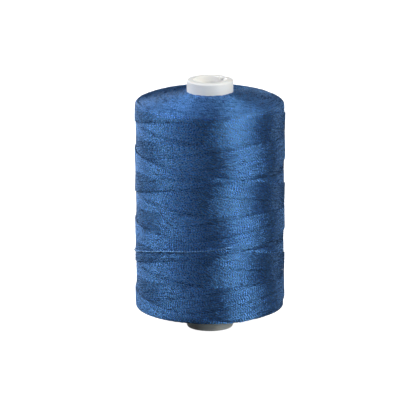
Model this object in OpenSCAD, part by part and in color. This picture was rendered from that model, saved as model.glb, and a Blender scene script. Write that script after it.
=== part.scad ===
// Spool of sewing thread.
//
// A straight moulded plastic tube carries one continuous thread.  The thread is wound
// to and fro in crossing helices, so the package keeps its shape without end flanges,
// and its two ends bulge a little next to the tube.  The package is drawn as three
// rings of windings, one around the other, because it unwinds from the outside in.
//
// Units are millimetres.  +Z runs up the tube, and Z = 0 is the rim that it stands on.
// The front of the spool faces -Y.

/* [Core tube] */
// Length of the tube from rim to rim
tube_length = 70; // [68:1:80]
// Outside diameter of the tube
tube_od = 12.8; // [12:0.1:14]
// Diameter of the hole for the spool pin
pin_hole_d = 9; // [7:0.1:9.4]
// Rounding of the outer edge of both rims
rim_round = 0.5; // [0.2:0.1:0.7]
// Width of the notch in the upper rim that catches the thread
notch_width = 1.2; // [0.8:0.1:2]
// Depth of that notch
notch_depth = 1.3; // [1:0.1:2]
// Where the notch sits, counted from +X towards +Y
notch_angle = 43; // [0:1:359]

/* [Thread package] */
// Outside diameter of the wound thread
package_d = 40.8; // [38:0.2:50]
// Height of the package at its outer edge
package_h = 58; // [50:1:60]
// How much higher each end of the package is next to the tube
end_bulge = 2.9; // [1:0.1:3.5]
// Rounding of the package's outer edges
shoulder_round = 0.6; // [0.3:0.1:1.5]
// Diameter at which the inner windings end
inner_winding_d = 22; // [18:0.5:26]
// Diameter at which the outer windings begin
outer_winding_d = 32; // [28:0.5:35]

/* [Thread] */
// Diameter of the thread
thread_d = 0.26; // [0.2:0.01:0.4]
// Turns around the package on each stroke from one end to the other
turns_per_stroke = 3; // [2:1:5]
// Where the loose last wrap begins, counted from the front towards +X
last_wrap_start = -170; // [-180:1:180]
// How far around the package the last wrap runs
last_wrap_sweep = 190; // [90:5:260]
// Height of the last wrap where it begins
last_wrap_z = 18; // [10:0.5:40]

/* [Hidden] */
$fn = 96;

tube_r = tube_od / 2;
hole_r = pin_hole_d / 2;
hole_round = rim_round / 2;
// Extra length on a cutting shape, so that it passes right through
cut = 1;

package_r = package_d / 2;
mid_z = tube_length / 2;
edge_z = package_h / 2;
// Each end of the package is part of a sphere, which is end_bulge higher at the tube
// than at the outer edge.  Heights here are counted from the middle of the package.
end_fall = (package_r * package_r - tube_r * tube_r - end_bulge * end_bulge)
    / (2 * end_bulge);
end_sphere_z = edge_z - end_fall;
end_sphere_r = sqrt(package_r * package_r + end_fall * end_fall);
// The shoulder's round touches both that sphere and the side of the package.
shoulder_x = package_r - shoulder_round;
shoulder_z = end_sphere_z
    + sqrt(pow(end_sphere_r - shoulder_round, 2) - shoulder_x * shoulder_x);
shoulder_touch_x = shoulder_x * end_sphere_r / (end_sphere_r - shoulder_round);

// Rise of the thread over one whole turn
thread_lead = package_h / turns_per_stroke;
// The last wrap is a thin round tube that lies just clear of the package.
wrap_gap = 0.04;
wrap_r = package_r + wrap_gap + thread_d / 2;
wrap_sides = 8;
wrap_rings = round(last_wrap_sweep / 5);

// Half of the tube's section: a slim upright wall with four rounded corners
module tube_section() {
    wall = tube_r - hole_r;
    translate([hole_r + hole_round, 0])
        square([wall - hole_round - rim_round, tube_length]);
    translate([hole_r, hole_round])
        square([wall / 2, tube_length - 2 * hole_round]);
    translate([hole_r + wall / 2, rim_round])
        square([wall / 2, tube_length - 2 * rim_round]);
    for (z = [hole_round, tube_length - hole_round])
        translate([hole_r + hole_round, z]) circle(r = hole_round);
    for (z = [rim_round, tube_length - rim_round])
        translate([tube_r - rim_round, z]) circle(r = rim_round);
}

// A slot with a round bottom, standing in the wall on the +X side
module notch_cutter() {
    floor_z = tube_length - notch_depth + notch_width / 2;
    translate([0, -notch_width / 2, floor_z])
        cube([tube_od, notch_width, notch_depth + cut]);
    translate([0, 0, floor_z])
        rotate([0, 90, 0]) cylinder(d = notch_width, h = tube_od);
}

module core_tube() {
    color("whitesmoke")
    difference() {
        rotate_extrude() tube_section();
        rotate([0, 0, notch_angle]) notch_cutter();
    }
}

// The half of the package's section that lies above its middle, down to the axis
module upper_half_section() {
    intersection() {
        translate([0, end_sphere_z]) circle(r = end_sphere_r, $fn = 256);
        square([shoulder_touch_x, edge_z + 2 * end_bulge]);
    }
    square([package_r, shoulder_z]);
    translate([shoulder_x, shoulder_z]) circle(r = shoulder_round);
}

// The whole package as one solid body, with no hole for the tube
module package_form() {
    translate([0, 0, mid_z]) {
        rotate_extrude() upper_half_section();
        mirror([0, 0, 1]) rotate_extrude() upper_half_section();
    }
}

// The part of the package between two radii
module winding_ring(inner_r, outer_r) {
    difference() {
        intersection() {
            package_form();
            translate([0, 0, -cut]) cylinder(r = outer_r, h = tube_length + 2 * cut);
        }
        translate([0, 0, -cut]) cylinder(r = inner_r, h = tube_length + 2 * cut);
    }
}

module inner_winding() {
    color("royalblue") winding_ring(tube_r, inner_winding_d / 2);
}

module middle_winding() {
    color("royalblue") winding_ring(inner_winding_d / 2, outer_winding_d / 2);
}

module outer_winding() {
    color("royalblue")
    difference() {
        package_form();
        translate([0, 0, -cut])
            cylinder(d = outer_winding_d, h = tube_length + 2 * cut);
    }
}

// One corner of the last wrap's surface: ring counts along it, side counts around it
function wrap_point(ring, side) =
    let (
        along = last_wrap_sweep * ring / wrap_rings,
        turn = 360 * side / wrap_sides,
        r = wrap_r + thread_d / 2 * cos(turn),
        angle = last_wrap_start + along - 90
    )
    [
        r * cos(angle),
        r * sin(angle),
        last_wrap_z + thread_lead * along / 360 + thread_d / 2 * sin(turn)
    ];

// The loose last wrap of the thread, which rises around the package at the same rate
// as the windings below it
module last_wrap() {
    points = [
        for (ring = [0:wrap_rings], side = [0:wrap_sides - 1]) wrap_point(ring, side)
    ];
    sides = [
        for (ring = [0:wrap_rings - 1], side = [0:wrap_sides - 1])
            let (
                next = (side + 1) % wrap_sides,
                low = ring * wrap_sides,
                high = low + wrap_sides
            )
            [low + side, low + next, high + next, high + side]
    ];
    first_end = [for (side = [wrap_sides - 1:-1:0]) side];
    last_end = [for (side = [0:wrap_sides - 1]) wrap_rings * wrap_sides + side];
    color("cornflowerblue")
        polyhedron(points = points, faces = concat([first_end], sides, [last_end]));
}

core_tube();
inner_winding();
middle_winding();
outer_winding();
last_wrap();
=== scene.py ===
"""A spool of sewing thread: a moulded tube and the cross-wound thread on it, in a plain studio.

The thread is wound to and fro in three turns up and three turns down, so two families of
strands cross.  Where a newer strand crosses an older one it lies on top, and the older one
goes under it.  Lengths are in millimetres until a mesh is made, and angles are in degrees
counted from the front of the spool (-Y) towards +X.
"""

import math

import bpy
import numpy as np
from mathutils import Matrix, Vector


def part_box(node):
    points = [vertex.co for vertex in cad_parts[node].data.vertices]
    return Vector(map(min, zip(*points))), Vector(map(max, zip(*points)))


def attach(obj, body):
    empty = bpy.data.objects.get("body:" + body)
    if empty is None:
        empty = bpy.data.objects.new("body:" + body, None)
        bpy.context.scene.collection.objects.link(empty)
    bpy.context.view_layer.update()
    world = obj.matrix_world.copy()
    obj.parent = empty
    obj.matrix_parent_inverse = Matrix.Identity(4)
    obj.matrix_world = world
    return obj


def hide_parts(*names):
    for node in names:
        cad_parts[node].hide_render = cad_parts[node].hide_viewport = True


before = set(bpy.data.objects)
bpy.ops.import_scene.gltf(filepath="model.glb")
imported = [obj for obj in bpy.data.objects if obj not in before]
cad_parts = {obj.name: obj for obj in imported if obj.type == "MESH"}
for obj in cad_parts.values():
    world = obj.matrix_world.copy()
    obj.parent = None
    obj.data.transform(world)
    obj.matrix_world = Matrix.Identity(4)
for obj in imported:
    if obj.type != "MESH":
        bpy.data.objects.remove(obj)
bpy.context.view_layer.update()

MM = 0.001

# --- Sizes taken from the frame ------------------------------------------------------------
tube_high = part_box("core_tube")[1]
winding_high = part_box("inner_winding")[1]
package_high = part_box("outer_winding")[1]

TUBE_RADIUS = tube_high.x / MM
TUBE_LENGTH = tube_high.z / MM
MIDDLE = TUBE_LENGTH / 2
PACKAGE_RADIUS = package_high.x / MM
# How much higher each end of the package is next to the tube than at its outer edge
END_BULGE = 2.9
# Height of the package's outer edge above its middle
EDGE = winding_high.z / MM - MIDDLE - END_BULGE
# Each end of the package is part of a sphere that is END_BULGE higher at the tube
END_FALL = (PACKAGE_RADIUS**2 - TUBE_RADIUS**2 - END_BULGE**2) / (2 * END_BULGE)
END_SPHERE_RADIUS = math.hypot(PACKAGE_RADIUS, END_FALL)
END_SPHERE_CENTRE = EDGE - END_FALL

# --- The thread and how it is wound --------------------------------------------------------
THREAD = 0.27
# Turns around the package from one end to the other, and the rise over one of them
TURNS = 3
LEAD = 2 * EDGE / TURNS
# Passes up and down that lie side by side on the surface
PASSES = 70
# Where the newest pass turns back at each end
NEWEST_TURN = 23
# How far around the package a turn-back is rounded
TURN_ROUNDING = 8
# Angle from one point of a strand's path to the next, where it doesn't dive
PATH_STEP = 5.5
# The distance along a strand from one crossing to the next, in turns
CROSSING = 0.5 / PASSES
# In crossings: the shortest stretch of a strand that is drawn, and how far a stretch goes on
# below the newer strands at its start, at its end, and at its end where it turns back
SHORTEST = 1.4
STUB_START = 2.55
STUB_END = 1.5
STUB_TURN = 3.3
# How much lower the oldest strands on the surface lie than the newest, and how far the
# newest stand out from the package's surface
SETTLE = 0.45
LIFT = 0.35
# The windings sit a little higher at the front and have slipped down towards the lower end,
# and the package is wider at the top
LEAN = 1.5
SLIP = 0.3
TAPER = 0.07
# Rounding of the shoulders at the upper and the lower end
SHOULDERS = 1.2, 0.6
# How far the ends' windings dip at the shoulder, and how wide the ring is where they do
RIM_DIP = 0.34
RIM_WIDTH = 2.4
# Irregular spacing of the passes, the share of them that leave a gap, and the gap's width,
# all against even spacing, and the waviness of a strand
SPACING_JITTER = 0.06
GAP_CHANCE = 0.07
GAP = 0.55
WANDER = 0.014
# Plies twisted together, and the length of one ply's visible part along the thread
PLIES = 3
PLY_LENGTH = 0.72

# --- The turn-backs of older layers, which show as arcs on the ends ------------------------
# Distance between the rings that they lie in, and from the last ring to the package's edge
RING_SPACING = 0.25
RING_MARGIN = 0.4
# Arcs in a ring, and the angle from an arc's middle to its end
ARCS = 36
ARC_REACH = 10.0
# Irregular radius of an arc, and of its two ends against each other, and irregular depth
ARC_JITTER = 0.06
ARC_SLANT = 0.2
ARC_SINK = 0.09

# --- The loose last wrap -------------------------------------------------------------------
# Where it begins, how far around it goes, its height above the tube's lower rim where it
# begins, and the angle over which its ends go under the strands
WRAP_START = -170
WRAP_SWEEP = 190
WRAP_HEIGHT = 17.5
WRAP_DIVE = 9
# In threads: how high its axis lies above the strands, and how far its ends go down from there
WRAP_SEAT = 0.42
WRAP_SINK = 1.9
# How far the wrap bows upwards at the left, and where along it the bow begins and ends
WRAP_BOW = 0.85
BOW_START, BOW_END = 80, 180


def smooth(low, high, x):
    """0 below low, 1 above high, and a smooth rise between them."""
    t = np.clip((x - low) / (high - low), 0, 1)
    return t * t * (3 - 2 * t)


def around(angle):
    """Unit vectors that point away from the axis at these angles."""
    a = np.radians(angle)
    return np.stack([np.sin(a), -np.cos(a), np.zeros_like(a)], axis=-1)


def dome_height(radius):
    """Height of the package's end above its middle, at this radius."""
    return END_SPHERE_CENTRE + np.sqrt(END_SPHERE_RADIUS**2 - radius**2)


def dome_slope(radius):
    """Outward lean of the end's surface normal, as a sine."""
    return radius / END_SPHERE_RADIUS


def rim_dip(radius):
    """How far the end's windings dip below that sphere as they near the shoulder."""
    return RIM_DIP * smooth(PACKAGE_RADIUS - RIM_WIDTH, PACKAGE_RADIUS, radius) ** 0.8


# --- Strands -------------------------------------------------------------------------------
def make_piece(name, points, faces):
    """A smooth mesh object. The points' heights are counted from the package's middle."""
    mesh = bpy.data.meshes.new(name)
    mesh.from_pydata(((points + (0, 0, MIDDLE)) * MM).tolist(), [], faces)
    mesh.polygons.foreach_set("use_smooth", np.ones(len(mesh.polygons), bool))
    mesh.update()
    piece = bpy.data.objects.new(name, mesh)
    bpy.context.scene.collection.objects.link(piece)
    return piece


class Strands:
    """Collects round strands, each a closed tube swept along a path, into one mesh."""

    def __init__(self, sides, rng):
        self.sides = sides
        self.rng = rng
        self.points = []
        self.faces = []
        self.ply = []
        self.shade = []
        self.count = 0

    def add(self, path, outward, diameter=THREAD):
        """Sweeps one strand. outward is the surface normal below each point of the path."""
        along = np.gradient(path, axis=0)
        along /= np.linalg.norm(along, axis=1, keepdims=True)
        across = np.cross(along, outward)
        across /= np.linalg.norm(across, axis=1, keepdims=True)
        up = np.cross(across, along)
        side = np.arange(self.sides)
        turn = math.pi + 2 * math.pi * (side + 0.5) / self.sides
        ring = (
            np.cos(turn)[None, :, None] * up[:, None, :]
            + np.sin(turn)[None, :, None] * across[:, None, :]
        )
        points = path[:, None, :] + ring * diameter / 2
        steps = np.linalg.norm(np.diff(path, axis=0), axis=1)
        length = np.concatenate([[0], np.cumsum(steps)])
        start = self.rng.uniform(0, 50)
        ply = start + length[:, None] / PLY_LENGTH - PLIES * side[None, :] / self.sides
        self.points.append(points.reshape(-1, 3))
        self.ply.append(ply.ravel())
        self.shade.append(np.full(points.shape[0] * self.sides, self.rng.uniform(0, 1)))
        rings = len(path)
        low = self.count + np.arange(rings - 1)[:, None] * self.sides
        nxt = (side + 1) % self.sides
        quads = np.stack(
            [low + side, low + self.sides + side, low + self.sides + nxt, low + nxt], axis=-1
        )
        self.faces.extend(quads.reshape(-1, 4).tolist())
        self.faces.append((self.count + side).tolist())
        self.faces.append((self.count + (rings - 1) * self.sides + side[::-1]).tolist())
        self.count += rings * self.sides

    def build(self, name):
        """Makes the mesh object, with each point's place among the plies and its strand's shade."""
        piece = make_piece(name, np.concatenate(self.points), self.faces)
        for label, values in (("ply", self.ply), ("shade", self.shade)):
            attribute = piece.data.attributes.new(label, "FLOAT", "POINT")
            attribute.data.foreach_set("value", np.concatenate(values).astype(np.float32))
        return piece


class Waves:
    """A slow random wave around the package, the same each run."""

    def __init__(self, rng, size, terms=4):
        self.size = size / math.sqrt(terms)
        self.rates = rng.uniform(1.5, 9, terms)
        self.phases = rng.uniform(0, 2 * math.pi, terms)

    def at(self, turns):
        angle = 2 * math.pi * np.outer(turns, self.rates) + self.phases
        return self.size * math.sqrt(2) * np.sin(angle).sum(axis=1)


def side_surface(height, angle, drop):
    """Points of the package's side and shoulder, and their normals, drop below the surface.

    height is measured along the surface from the middle, so it goes on over the shoulder.
    """
    rounding = np.where(height > 0, *SHOULDERS)
    # Angle of the surface normal above the horizontal, which grows around the shoulder
    beyond = np.clip(np.abs(height) - (EDGE - rounding), 0, None) / rounding
    # The lean dies away at the two shoulders, which stay level
    free = 1 - (height / EDGE) ** 6
    lean = (LEAN * np.cos(np.radians(angle)) - SLIP * (1 - height / EDGE)) * free
    radius = PACKAGE_RADIUS + TAPER * height / EDGE - rounding * (1 - np.cos(beyond))
    flat = np.clip(np.abs(height), None, EDGE - rounding)
    z = np.sign(height) * (flat + rounding * np.sin(beyond)) + lean
    out = around(angle) * np.cos(beyond)[:, None]
    out[:, 2] = np.sign(height) * np.sin(beyond)
    points = around(angle) * radius[:, None]
    points[:, 2] = z
    return points - out * np.asarray(drop)[:, None], out


def stroke_height(turns):
    """Height of a pass, turns after it left the lower end: up, around the end, and down."""
    rounding = math.pi * TURN_ROUNDING / 360 / TURNS
    sharp = math.cos(rounding)
    return -EDGE * np.arcsin(sharp * np.cos(math.pi * turns / TURNS)) / math.asin(sharp)


def interval_samples(start, end, stub_start, stub_end):
    """Places along a strand's stretch, in turns: close together where it dives, else apart.

    start and end are where it shows, and the stubs are how far it goes on below newer strands.
    """
    first = start + CROSSING * np.array([-stub_start, -0.02, 0.6, 1.2])
    last = end + CROSSING * np.array([-1.9, -1.2, -0.5, 0.3, stub_end])
    steps = max(1, round((end - start) * 360 / PATH_STEP))
    middle = np.linspace(start, end, steps + 1)
    clear = (middle > first[-1] + CROSSING) & (middle < last[0] - CROSSING)
    return np.concatenate([first, middle[clear], last])


def pass_ages(rng):
    """Age of each pass on the surface, from 0 for the newest to 1, unevenly spaced."""
    steps = 1 + SPACING_JITTER * rng.normal(size=PASSES)
    steps += GAP * (rng.uniform(size=PASSES) < GAP_CHANCE)
    return (np.cumsum(steps) - steps / 2) / steps.sum()


def wind_side(strands, strokes, rng):
    """Adds the visible stretches of every pass, for these half turns of its stroke.

    In each half turn, a strand shows from its crossing with the newest strand to where the
    strands that cross it become newer than itself.
    """
    for age in pass_ages(rng):
        height_wave = Waves(rng, WANDER)
        depth_wave = Waves(rng, WANDER * 0.6)
        for half_turn in strokes:
            start = (half_turn + age) / 2
            end = (half_turn + 1) / 2
            if end - start < SHORTEST * CROSSING:
                continue
            turns_back = half_turn % (2 * TURNS) == 2 * TURNS - 1
            stub_end = STUB_TURN if turns_back else STUB_END
            turns = interval_samples(start, end, STUB_START, stub_end)
            under_start = 1 - smooth(0, 1.3, (turns - start) / CROSSING)
            under_end = 1 - smooth(-0.3, 1.6, (end - turns) / CROSSING)
            drop = THREAD / 2 - LIFT + SETTLE * age + (0.8 * under_start + under_end) * THREAD
            angle = NEWEST_TURN + 360 * (turns - age)
            height = stroke_height(turns) + height_wave.at(turns)
            height = np.clip(height, -EDGE, EDGE)
            path, outward = side_surface(height, angle, drop + depth_wave.at(turns))
            strands.add(path, outward)


def wind_end(strands, sign, rng):
    """Adds the turn-backs of the older layers. sign is 1 for the upper end, -1 for the lower."""
    inner = TUBE_RADIUS + THREAD / 2
    outer = PACKAGE_RADIUS - RING_MARGIN
    for ring in range(round((outer - TUBE_RADIUS) / RING_SPACING)):
        phase = rng.uniform(0, 360)
        for arc in range(ARCS):
            centre = phase + 360 * (arc + rng.uniform(-0.3, 0.3)) / ARCS
            half = ARC_REACH * rng.uniform(0.85, 1.2)
            from_centre = np.linspace(-half, half, 7)
            slant = rng.normal() * ARC_SLANT * from_centre / half
            radius = inner + RING_SPACING * ring + slant + rng.normal() * ARC_JITTER
            radius = np.clip(radius, inner, outer)
            fall = LEAD / 360 * (np.hypot(from_centre, TURN_ROUNDING) - TURN_ROUNDING)
            drop = THREAD / 2 + rim_dip(radius) + fall + abs(rng.normal()) * ARC_SINK
            angle = centre + from_centre
            path = around(angle) * radius[:, None]
            path[:, 2] = sign * (dome_height(radius) - drop)
            outward = around(angle) * dome_slope(radius)[:, None]
            outward[:, 2] = sign * np.sqrt(1 - dome_slope(radius) ** 2)
            strands.add(path, outward)


def side_threads(name, strokes, seed):
    """The strands of the package's side, for these half turns of the stroke."""
    rng = np.random.default_rng(seed)
    strands = Strands(6, rng)
    wind_side(strands, strokes, rng)
    return strands.build(name)


def end_threads(name, sign, seed):
    """The strands of the upper end (sign 1) or the lower end (sign -1)."""
    rng = np.random.default_rng(seed)
    strands = Strands(5, rng)
    wind_end(strands, sign, rng)
    return strands.build(name)


def last_wrap():
    """The last wrap, which lies on the strands and dives between them at both ends."""
    rng = np.random.default_rng(11)
    sweep = np.linspace(0, WRAP_SWEEP, 96)
    angle = WRAP_START + sweep
    bow = np.clip((sweep - BOW_START) / (BOW_END - BOW_START), 0, 1)
    height = WRAP_HEIGHT - MIDDLE + LEAD * sweep / 360
    height += WRAP_BOW * np.sin(math.pi * bow) ** 2
    buried = 1 - smooth(0, WRAP_DIVE, sweep) * smooth(0, WRAP_DIVE, WRAP_SWEEP - sweep)
    surface = PACKAGE_RADIUS + LIFT + TAPER * height / EDGE
    radius = surface + THREAD * (WRAP_SEAT - WRAP_SINK * buried)
    path = around(angle) * radius[:, None]
    path[:, 2] = height + Waves(rng, 0.08).at(sweep / 360)
    strands = Strands(10, rng)
    strands.add(path, around(angle), THREAD * 1.05)
    return strands.build("last_wrap_thread")


def inner_outline():
    """Outline of the deeper windings on one side of the axis, as (radius, height) points."""
    # A little deeper than the oldest strands on the surface reach
    depth = SETTLE - LIFT + THREAD * 1.3
    clearance, bevel_in, bevel_down = 0.02, 0.5, 0.6
    radii = np.linspace(TUBE_RADIUS + clearance, PACKAGE_RADIUS - depth - bevel_in, 24)
    tops = dome_height(radii) - depth
    side_top = tops[-1] - bevel_down
    heights = np.linspace(side_top, -side_top, 40)
    upper = np.stack([radii, tops], axis=-1)
    side = np.stack([PACKAGE_RADIUS + TAPER * heights / EDGE - depth, heights], axis=-1)
    lower = upper[::-1] * (1, -1)
    return np.concatenate([upper, side, lower])


def inner_layers():
    """The closed body of deeper windings, which shows only between the strands."""
    outline = inner_outline()
    segments = 144
    points = around(360 * np.arange(segments) / segments)[:, None, :] * outline[:, 0, None]
    points[:, :, 2] = outline[:, 1]
    count = len(outline)
    row = np.arange(count)
    nxt = (row + 1) % count
    faces = []
    for segment in range(segments):
        here, there = segment * count, (segment + 1) % segments * count
        faces += np.stack([here + row, here + nxt, there + nxt, there + row], axis=-1).tolist()
    return make_piece("inner_layers", points.reshape(-1, 3), faces)


# --- Materials -----------------------------------------------------------------------------
class Nodes:
    """A material's nodes, with short calls for the ones used here."""

    def __init__(self, name):
        self.material = bpy.data.materials.new(name)
        self.material.use_nodes = True
        self.tree = self.material.node_tree
        self.shader = self.tree.nodes["Principled BSDF"]

    def link(self, source, target):
        self.tree.links.new(source, target)

    def feed(self, socket, value):
        """Links a socket, or sets a plain value."""
        if isinstance(value, bpy.types.NodeSocket):
            self.link(value, socket)
        else:
            socket.default_value = value

    def attribute(self, name):
        node = self.tree.nodes.new("ShaderNodeAttribute")
        node.attribute_name = name
        return node.outputs["Fac"]

    def math(self, operation, a, b=0.0):
        node = self.tree.nodes.new("ShaderNodeMath")
        node.operation = operation
        self.feed(node.inputs[0], a)
        self.feed(node.inputs[1], b)
        return node.outputs[0]

    def spread(self, value, low, high):
        """Maps 0 to 1 onto low to high."""
        node = self.tree.nodes.new("ShaderNodeMapRange")
        self.feed(node.inputs["Value"], value)
        node.inputs["To Min"].default_value = low
        node.inputs["To Max"].default_value = high
        return node.outputs["Result"]

    def random(self, a, b):
        """A number from 0 to 1 for each pair of values."""
        pair = self.tree.nodes.new("ShaderNodeCombineXYZ")
        self.feed(pair.inputs["X"], a)
        self.feed(pair.inputs["Y"], b)
        node = self.tree.nodes.new("ShaderNodeTexWhiteNoise")
        node.noise_dimensions = "2D"
        self.link(pair.outputs[0], node.inputs["Vector"])
        return node.outputs["Value"]

    def noise(self, scale, detail=2.0, stretch=(1, 1, 1)):
        place = self.tree.nodes.new("ShaderNodeTexCoord")
        mapping = self.tree.nodes.new("ShaderNodeMapping")
        mapping.inputs["Scale"].default_value = stretch
        node = self.tree.nodes.new("ShaderNodeTexNoise")
        node.inputs["Scale"].default_value = scale
        node.inputs["Detail"].default_value = detail
        self.link(place.outputs["Object"], mapping.inputs["Vector"])
        self.link(mapping.outputs[0], node.inputs["Vector"])
        return node.outputs["Fac"]

    def ramp(self, value, *stops):
        """A colour ramp through (place, (r, g, b)) stops."""
        node = self.tree.nodes.new("ShaderNodeValToRGB")
        elements = node.color_ramp.elements
        while len(elements) < len(stops):
            elements.new(0.5)
        for element, (place, colour) in zip(elements, stops):
            element.position = place
            element.color = (*colour, 1)
        self.feed(node.inputs["Fac"], value)
        return node.outputs["Color"]

    def bump(self, height, distance, strength=1.0):
        node = self.tree.nodes.new("ShaderNodeBump")
        node.inputs["Distance"].default_value = distance
        node.inputs["Strength"].default_value = strength
        self.link(height, node.inputs["Height"])
        self.link(node.outputs[0], self.shader.inputs["Normal"])


def thread_material(
    name, dark, middle, light, gloss=(0.15, 0.33), streaks=0.05, fuzz=(3000, 0.3)
):
    """Twisted thread: slanted plies, painted darker in their grooves as painted shade and lighter on
    their crowns as painted light, each a little different in tilt and gloss.

    dark, middle and light are the colours from a ply's groove to its crown: the dark end is painted
    shade in the groove and the light end is painted light on the crown.
    gloss is the lowest and highest roughness of a ply, streaks is how much whole strands differ in
    tone, and fuzz is the scale and the strength of the finer unevenness.
    """
    m = Nodes(name)
    ply = m.attribute("ply")
    strand = m.attribute("shade")
    # Scaled up, so that two strands with much the same shade get unlike random numbers
    shade = m.math("MULTIPLY", strand, 91.7)
    part = m.math("FLOOR", ply)
    within = m.math("FRACT", ply)
    chance = m.random(part, shade)
    other_chance = m.random(shade, part)
    crown = m.math("SINE", m.math("MULTIPLY", within, math.pi))
    # The crown term paints shade into a ply's grooves and light onto its crown; the chance term is
    # the ply's own random tone
    tone = m.math("ADD", m.math("MULTIPLY", chance, 0.3), m.spread(crown, -0.42, 0.84))
    uneven = m.math("SUBTRACT", m.noise(fuzz[0]), 0.5)
    tone = m.math("ADD", tone, m.math("MULTIPLY", uneven, fuzz[1]))
    tone = m.math("ADD", tone, m.math("MULTIPLY", m.math("SUBTRACT", strand, 0.5), streaks))
    m.link(m.ramp(tone, (0.1, dark), (0.5, middle), (0.9, light)), m.shader.inputs["Base Color"])
    m.link(m.spread(other_chance, *gloss), m.shader.inputs["Roughness"])
    tilt = m.math("MULTIPLY", m.math("SUBTRACT", other_chance, 0.5), within)
    height = m.math("ADD", m.math("MULTIPLY", crown, 0.9), m.math("MULTIPLY", tilt, 1.4))
    m.bump(height, 0.00006)
    m.shader.inputs["Metallic"].default_value = 0.8
    m.shader.inputs["Specular Tint"].default_value = (0.7, 0.85, 1.0, 1)
    m.shader.inputs["Sheen Weight"].default_value = 0.15
    m.shader.inputs["Sheen Roughness"].default_value = 0.4
    m.shader.inputs["Sheen Tint"].default_value = (0.45, 0.65, 1.0, 1)
    return m.material


def deep_thread_material():
    """The deeper windings, coloured near black as painted shade, which only show as dark lines
    between the strands.
    """
    m = Nodes("deep_thread_shade")
    streaks = m.noise(900, 2, (0.15, 0.15, 4))
    # Near-black blues: painted shade in the gaps between the strands, streaked along the windings
    colour = m.ramp(streaks, (0.3, (0.004, 0.014, 0.05)), (0.7, (0.015, 0.05, 0.16)))
    m.link(colour, m.shader.inputs["Base Color"])
    m.link(m.spread(streaks, 0.7, 0.9), m.shader.inputs["Roughness"])
    m.shader.inputs["Specular IOR Level"].default_value = 0.1
    m.bump(streaks, 0.0001)
    return m.material


def tube_material():
    """Plain white moulded plastic, faintly uneven and a little translucent."""
    m = Nodes("tube_plastic")
    cloud = m.noise(90, 3, (1, 1, 0.35))
    grain = m.noise(2600, 2)
    colour = m.ramp(cloud, (0.3, (0.88, 0.87, 0.85)), (0.7, (0.93, 0.92, 0.9)))
    m.link(colour, m.shader.inputs["Base Color"])
    m.link(m.spread(grain, 0.34, 0.46), m.shader.inputs["Roughness"])
    m.bump(m.math("ADD", grain, m.math("MULTIPLY", cloud, 3.0)), 0.000012)
    m.shader.inputs["Subsurface Weight"].default_value = 0.4
    m.shader.inputs["Subsurface Radius"].default_value = (1.0, 0.9, 0.8)
    m.shader.inputs["Subsurface Scale"].default_value = 0.0015
    return m.material


def floor_material():
    """A pale floor that is bright all over and keeps only a faint shadow."""
    m = Nodes("pale_floor")
    m.shader.inputs["Base Color"].default_value = (0.8, 0.8, 0.8, 1)
    m.shader.inputs["Roughness"].default_value = 0.9
    m.shader.inputs["Emission Color"].default_value = (1, 1, 1, 1)
    m.shader.inputs["Emission Strength"].default_value = 0.97
    return m.material


# --- The studio ----------------------------------------------------------------------------
def make_camera():
    """The photograph's viewpoint: from the front, a little above, with a long lens."""
    distance, elevation, lens = 1.488, math.radians(14.1), 467
    # How far the camera sits off the line through the object's middle, right and up
    off_right, off_up = -0.537 * MM, -1.378 * MM
    back = Vector((0, -math.cos(elevation), math.sin(elevation)))
    right = Vector((1, 0, 0))
    up = back.cross(right)
    data = bpy.data.cameras.new("camera")
    data.sensor_width = 36
    data.lens = lens
    data.clip_start, data.clip_end = 0.05, 20
    camera = bpy.data.objects.new("camera", data)
    bpy.context.scene.collection.objects.link(camera)
    place = Vector((0, 0, MIDDLE * MM)) + back * distance + right * off_right + up * off_up
    camera.matrix_world = Matrix.Translation(place) @ Matrix((right, up, back)).transposed().to_4x4()
    bpy.context.scene.camera = camera


def panel(name, azimuth, elevation, width, height, radiance, colour=(1, 1, 1)):
    """A flat soft light that faces the spool and isn't seen by the camera."""
    distance = 0.8
    data = bpy.data.lights.new(name, "AREA")
    data.shape = "RECTANGLE"
    data.size, data.size_y = width, height
    data.energy = radiance * math.pi * width * height
    data.color = colour
    light = bpy.data.objects.new(name, data)
    bpy.context.scene.collection.objects.link(light)
    a, e = math.radians(azimuth), math.radians(elevation)
    direction = Vector((math.sin(a) * math.cos(e), -math.cos(a) * math.cos(e), math.sin(e)))
    light.location = Vector((0, 0, MIDDLE * MM)) + direction * distance
    light.rotation_euler = direction.to_track_quat("Z", "Y").to_euler()
    light.visible_camera = False


def make_lights():
    """Two keys at the right, a strong high light at the left, and weaker fills all around."""
    panel("key_right", 65, 22, 0.44, 0.24, 9.2, (1.0, 1.0, 0.95))
    panel("high_right", 54, 38, 0.44, 0.24, 6.8, (1.0, 1.0, 0.95))
    panel("high_left", -88, 38, 0.32, 0.24, 13.2)
    panel("side_left", -114, 20, 0.3, 0.24, 4.6)
    panel("front_left", -48, 33, 0.34, 0.3, 4.2, (0.93, 0.98, 1.1))
    panel("front_high", -4, 42, 0.3, 0.24, 0.9, (0.95, 1.0, 1.12))
    panel("top_left", -50, 60, 0.24, 0.24, 2.4, (0.93, 0.98, 1.1))
    panel("back_left", -148, 8, 0.5, 0.24, 3.7)
    panel("back_right", 145, 8, 0.24, 0.24, 2.3)
    panel("low_left", -22, 4, 0.24, 0.24, 1.0, (0.9, 1.0, 1.05))
    panel("low_right", 52, -16, 0.24, 0.24, 4.2, (0.9, 1.0, 1.0))


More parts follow.
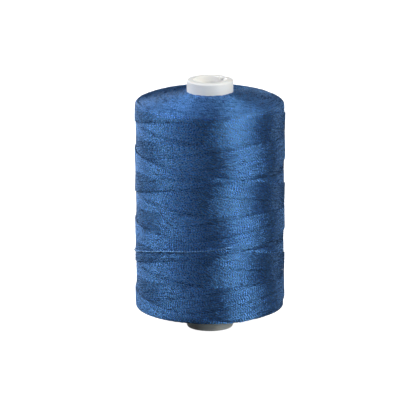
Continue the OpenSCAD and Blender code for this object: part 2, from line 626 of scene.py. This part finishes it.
def make_stage():
    """A wide pale floor, which the low lights shine through, and a white surround."""
    size = 3.0
    corners = [(-size, -size, 0), (size, -size, 0), (size, size, 0), (-size, size, 0)]
    mesh = bpy.data.meshes.new("floor")
    mesh.from_pydata(corners, [], [(0, 1, 2, 3)])
    mesh.materials.append(floor_material())
    floor = bpy.data.objects.new("floor", mesh)
    bpy.context.scene.collection.objects.link(floor)
    floor.visible_diffuse = False
    floor.visible_glossy = False
    floor.visible_shadow = False
    world = bpy.data.worlds.new("white_surround")
    world.use_nodes = True
    world.node_tree.nodes["Background"].inputs["Color"].default_value = (1, 1, 1, 1)
    world.cycles_visibility.diffuse = False
    world.cycles_visibility.glossy = False
    world.cycles_visibility.transmission = False
    bpy.context.scene.world = world
    bpy.context.scene.view_settings.view_transform = "Standard"


# --- Assembly ------------------------------------------------------------------------------
def dress(piece, material, slot, *nodes):
    """Gives a piece its finish and its place on the frame."""
    piece.data.materials.append(material)
    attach(piece, "root")
    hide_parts(*nodes)


make_camera()
make_stage()
make_lights()

# Colours of a ply from its groove to its crown, the groove end painted shade and the crown end
# painted light, in the windings and in the last wrap
BLUES = (0.009, 0.041, 0.15), (0.050, 0.170, 0.475), (0.15, 0.39, 0.83)
# The last wrap's colours: the windings' thread painted lighter, as painted light where the wrap
# stands proud and catches the light
LIT_WRAP_BLUES = (0.1, 0.26, 0.56), (0.18, 0.4, 0.74), (0.28, 0.52, 0.86)
blue = thread_material("blue_thread", *BLUES)
end_blue = thread_material(
    "end_blue_thread", *BLUES, gloss=(0.27, 0.44), streaks=0.6, fuzz=(1000, 2.0)
)
# The last wrap's thread, painted lighter as painted light
lit_wrap_blue = thread_material("lit_wrap_thread", *LIT_WRAP_BLUES)

rising = range(0, 2 * TURNS)
falling = range(2 * TURNS, 4 * TURNS)
dress(side_threads("rising_strands", rising, 3), blue, "thread", "outer_winding")
dress(side_threads("falling_strands", falling, 5), blue, "thread", "outer_winding")
dress(end_threads("upper_end_strands", 1, 7), end_blue, "thread", "middle_winding")
dress(end_threads("lower_end_strands", -1, 9), end_blue, "thread", "middle_winding")
dress(inner_layers(), deep_thread_material(), "thread", "inner_winding")
dress(last_wrap(), lit_wrap_blue, "thread_end", "last_wrap")

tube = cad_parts["core_tube"]
tube.data.materials.clear()
tube.data.materials.append(tube_material())
